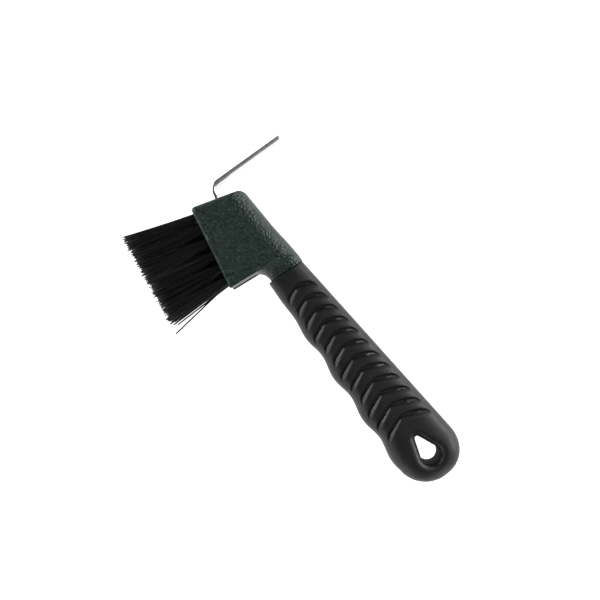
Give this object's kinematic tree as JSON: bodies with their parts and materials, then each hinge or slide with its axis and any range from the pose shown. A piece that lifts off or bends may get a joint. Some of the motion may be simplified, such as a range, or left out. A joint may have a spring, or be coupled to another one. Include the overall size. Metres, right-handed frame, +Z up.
{
  "type": "hoof pick",
  "caption": "Hand-held hoof pick: a bent steel blade and a stiff bristle brush on a moulded head, with a rubber-sleeved handle and a hanging hole.",
  "frame": {"origin": "middle of the bounding box, on the surface that the tool lies on with its head's flat side down", "axes": "+X along the handle from the grip's round end to the head, +Y towards the brush, +Z up through the head's thickness"},
  "size_m": [0.1809, 0.095, 0.024],
  "materials": {
    "head_plastic": "dark green moulded plastic with a fine leather grain, semi-gloss",
    "pick_steel": "bright stainless strip, lightly brushed",
    "grip_rubber": "satin black rubber",
    "bristle_nylon": "black nylon filament, slight sheen",
    "staple_wire": "plain flat wire"
  },
  "bodies": {
    "root": {"head_moulding": "head_plastic", "hoof_pick": "pick_steel", "rubber_grip": "grip_rubber", "tuft_staples": "staple_wire", "tuft_01": "bristle_nylon", "tuft_02": "bristle_nylon", "tuft_03": "bristle_nylon", "tuft_04": "bristle_nylon", "tuft_05": "bristle_nylon", "tuft_06": "bristle_nylon", "tuft_07": "bristle_nylon", "tuft_08": "bristle_nylon", "tuft_09": "bristle_nylon", "tuft_10": "bristle_nylon", "tuft_11": "bristle_nylon", "tuft_12": "bristle_nylon", "tuft_13": "bristle_nylon", "tuft_14": "bristle_nylon", "tuft_15": "bristle_nylon", "tuft_16": "bristle_nylon", "tuft_17": "bristle_nylon"}
  },
  "joints": []
}
